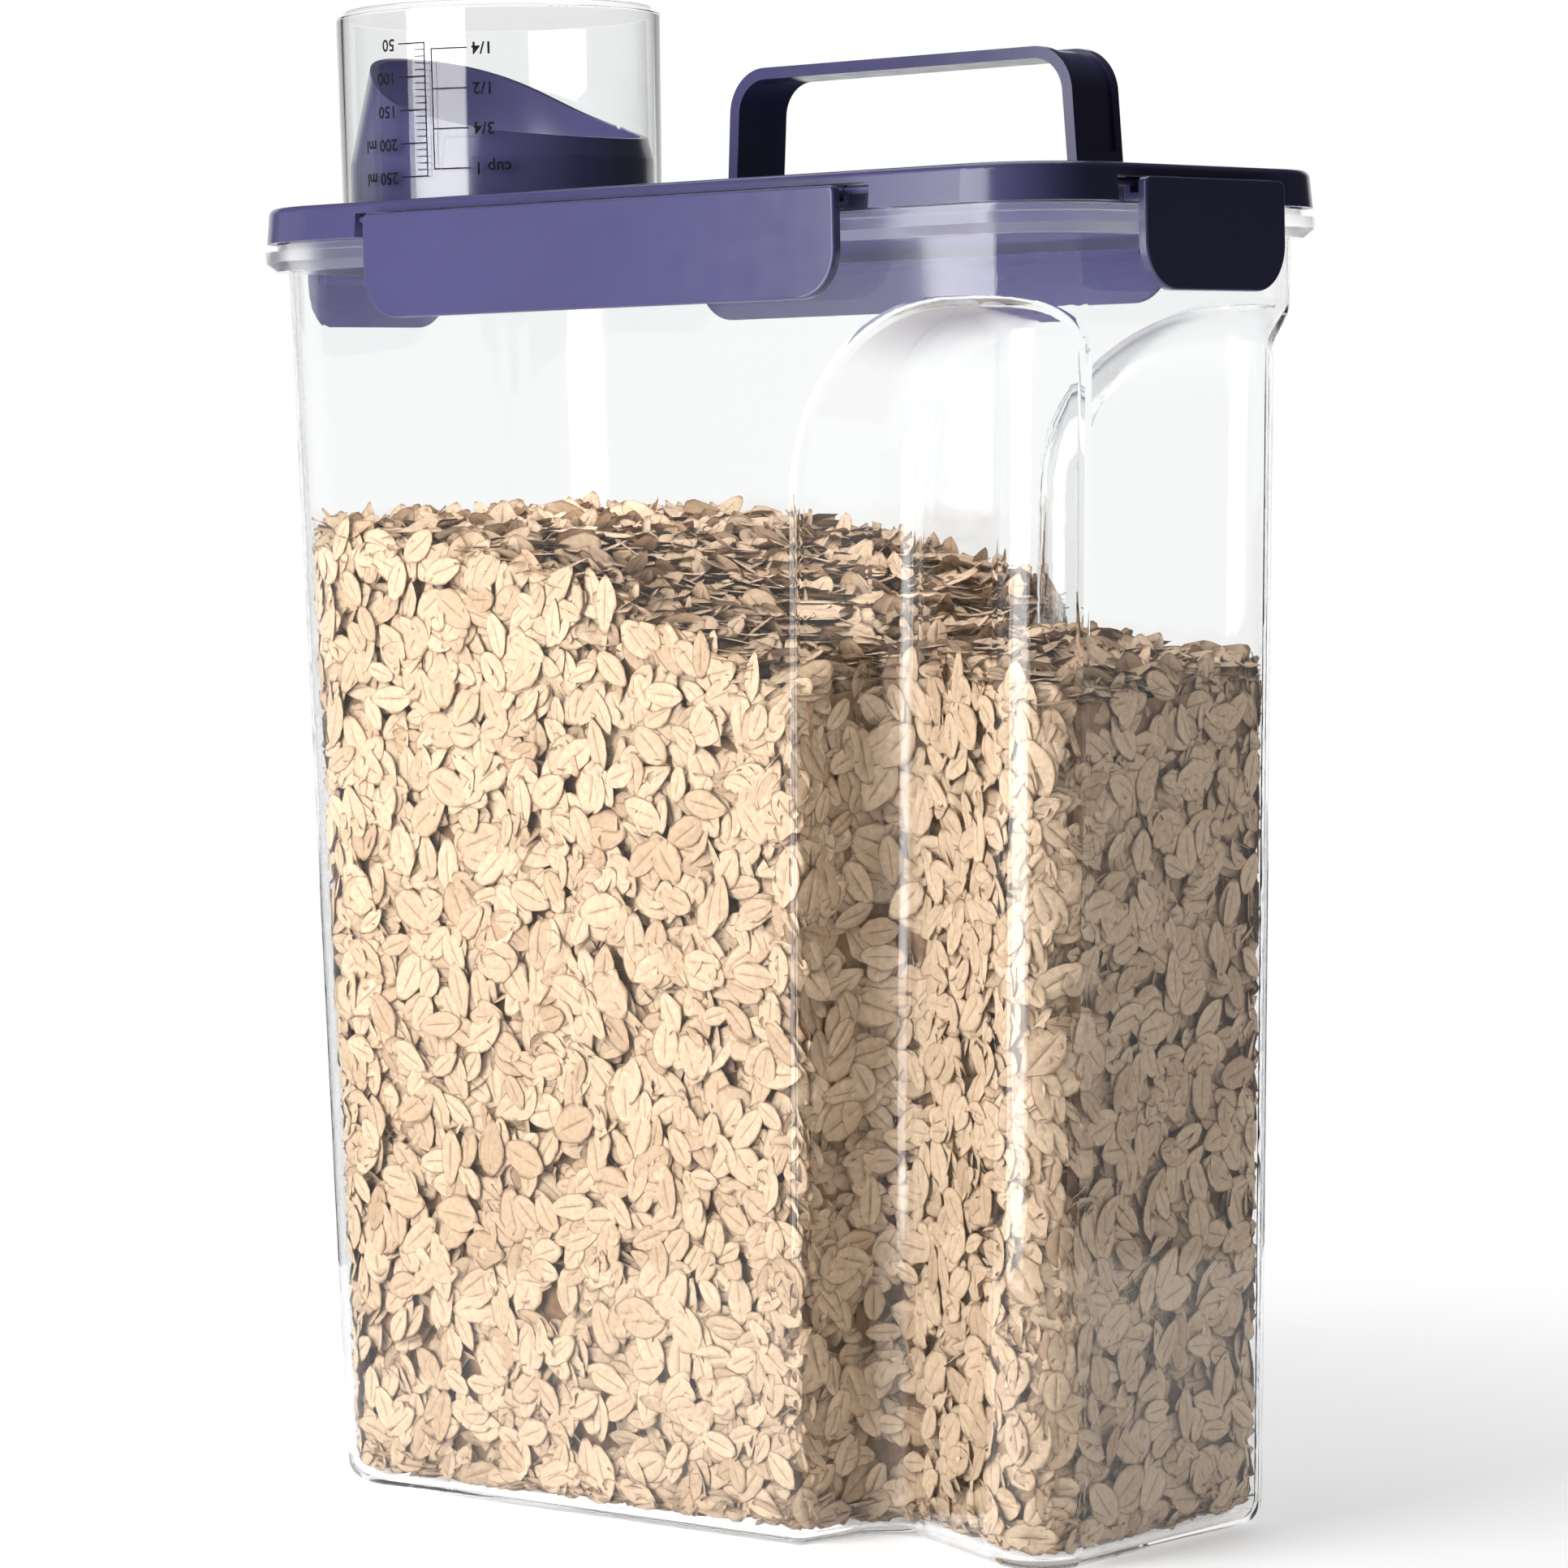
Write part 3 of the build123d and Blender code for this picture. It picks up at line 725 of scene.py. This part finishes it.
WHITE = (1, 1, 1, 1)
FLOOR_R = 0.50
FLOOR_NEAR = 0.16
FLOOR_FAR = 0.46
FLOOR_DARK = (0.84, 0.84, 0.85)
FLOOR_LIGHT = (0.87, 0.87, 0.88)
FLOOR_BODY = {"Roughness": 0.6, "Emission Color": WHITE, "Emission Strength": 0.40}
CARD_FAR = 2.2
CARD_HALF = 1.5
CARD_TALL = 1.2
DOME_R = 2.9
DOME_TALL = 2.6
DOME_SIDES = 96
DOME_RINGS = 24
DOME_TURNS = [2 * math.pi * k / DOME_SIDES for k in range(DOME_SIDES)]
GLOW_SOFT = 0.02
SKY_COLOUR = (0.95, 0.97, 1.0, 1)
SKY_STRENGTH = 0.05


def floor_material():
    """White sheet: lit and shaded round the object, blending into the white surround further away."""
    mat, tree, shader = new_material("floor")
    mix_colour(tree, shader, noise_ramp(tree, scale=3.0), FLOOR_DARK, FLOOR_LIGHT)
    set_inputs(shader, FLOOR_BODY)
    coord = add_node(tree, "ShaderNodeTexCoord")
    reach = add_node(tree, "ShaderNodeVectorMath", operation="LENGTH")
    tree.links.new(coord.outputs["Object"], reach.inputs[0])
    fade = add_node(tree, "ShaderNodeMapRange", interpolation_type="SMOOTHSTEP")
    set_inputs(fade, {"From Min": FLOOR_NEAR, "From Max": FLOOR_FAR})
    tree.links.new(reach.outputs["Value"], fade.inputs["Value"])
    glow = add_node(tree, "ShaderNodeEmission", Strength=1.0)
    blend = add_node(tree, "ShaderNodeMixShader")
    tree.links.new(fade.outputs["Result"], blend.inputs["Fac"])
    tree.links.new(shader.outputs["BSDF"], blend.inputs[1])
    tree.links.new(glow.outputs["Emission"], blend.inputs[2])
    tree.links.new(blend.outputs["Shader"], tree.nodes["Material Output"].inputs["Surface"])
    return mat


def add_floor():
    verts = [(FLOOR_R * math.cos(turn), FLOOR_R * math.sin(turn), 0) for turn in DOME_TURNS]
    floor = mesh_object("floor", verts, [tuple(range(DOME_SIDES))], floor_material())


def white_glow(name):
    mat = bpy.data.materials.new(name)
    mat.use_nodes = True
    tree = mat.node_tree
    tree.nodes.clear()
    out = add_node(tree, "ShaderNodeOutputMaterial")
    glow = add_node(tree, "ShaderNodeEmission", Color=WHITE, Strength=1.0)
    tree.links.new(glow.outputs["Emission"], out.inputs["Surface"])
    return mat


def add_dome():
    """White surround that only the eye and clear plastic see, so that it doesn't flatten the light."""
    rises = [math.radians(90) * ring / DOME_RINGS for ring in range(DOME_RINGS + 1)]
    profile = [(FLOOR_R, 0.0)] + [(DOME_R * math.cos(rise), DOME_TALL * math.sin(rise)) for rise in rises]
    verts = [(r * math.cos(turn), r * math.sin(turn), z) for r, z in profile for turn in DOME_TURNS]
    faces = []
    for ring in range(len(profile) - 1):
        for k in range(DOME_SIDES):
            a = ring * DOME_SIDES + k
            b = ring * DOME_SIDES + (k + 1) % DOME_SIDES
            faces.append((a, b, b + DOME_SIDES, a + DOME_SIDES))
    dome = mesh_object("surround", verts, faces, white_glow("surround"), smooth=True)
    dome.visible_diffuse = False
    dome.visible_glossy = False
    dome.visible_shadow = False


def add_back_card():
    """White card far behind the object, which polished faces reflect at a glancing angle."""
    az = math.radians(CAM_AZIMUTH)
    back = Vector((-math.sin(az), math.cos(az), 0)) * CARD_FAR
    side = Vector((math.cos(az), math.sin(az), 0)) * CARD_HALF
    top = Vector((0, 0, CARD_TALL))
    verts = [back - side, back + side, back + side + top, back - side + top]
    card = mesh_object("back_card", verts, [(0, 1, 2, 3)], white_glow("back_card"))
    card.visible_camera = False
    card.visible_diffuse = False
    card.visible_shadow = False


def add_world():
    world = bpy.data.worlds.new("studio")
    world.use_nodes = True
    set_inputs(world.node_tree.nodes["Background"], {"Color": SKY_COLOUR, "Strength": SKY_STRENGTH})
    scene.world = world


def add_panel(name, place, aim, size, power):
    data = bpy.data.lights.new(name, "AREA")
    data.shape = "RECTANGLE"
    data.size, data.size_y = size
    data.energy = power
    lamp = link(bpy.data.objects.new(name, data))
    lamp.location = place
    lamp.rotation_euler = (Vector(aim) - Vector(place)).to_track_quat("-Z", "Y").to_euler()


def add_glow(name, place, power):
    """Unseen soft lamp inside the bin: the light that its clear walls scatter over the oats."""
    data = bpy.data.lights.new(name, "POINT")
    data.energy = power
    data.shadow_soft_size = GLOW_SOFT
    lamp = link(bpy.data.objects.new(name, data))
    lamp.location = place
    lamp.visible_camera = False
    lamp.visible_glossy = False
    lamp.visible_transmission = False


def add_lamps():
    add_panel("key_panel", place=(-0.08, -0.52, 0.27), aim=(-0.04, 0.0, 0.20), size=(0.36, 0.75), power=6.0)
    add_panel("left_panel", place=(-0.95, -0.35, 0.42), aim=(0.0, 0.0, 0.25), size=(0.6, 0.7), power=0.5)
    add_glow("bin_glow_pour_end", place=(-0.075, 0.0, 0.305), power=0.26)
    add_glow("bin_glow_grip_end", place=(0.035, 0.0, 0.300), power=0.22)
    add_panel("top_panel", place=(-0.15, 0.15, 1.2), aim=(0.0, 0.0, 0.3), size=(0.9, 0.9), power=6.0)


dress_nodes()
add_print()
add_oats()
add_camera()
add_floor()
add_dome()
add_back_card()
add_world()
add_lamps()
scene.view_settings.view_transform = "Standard"
scene.view_settings.look = "None"
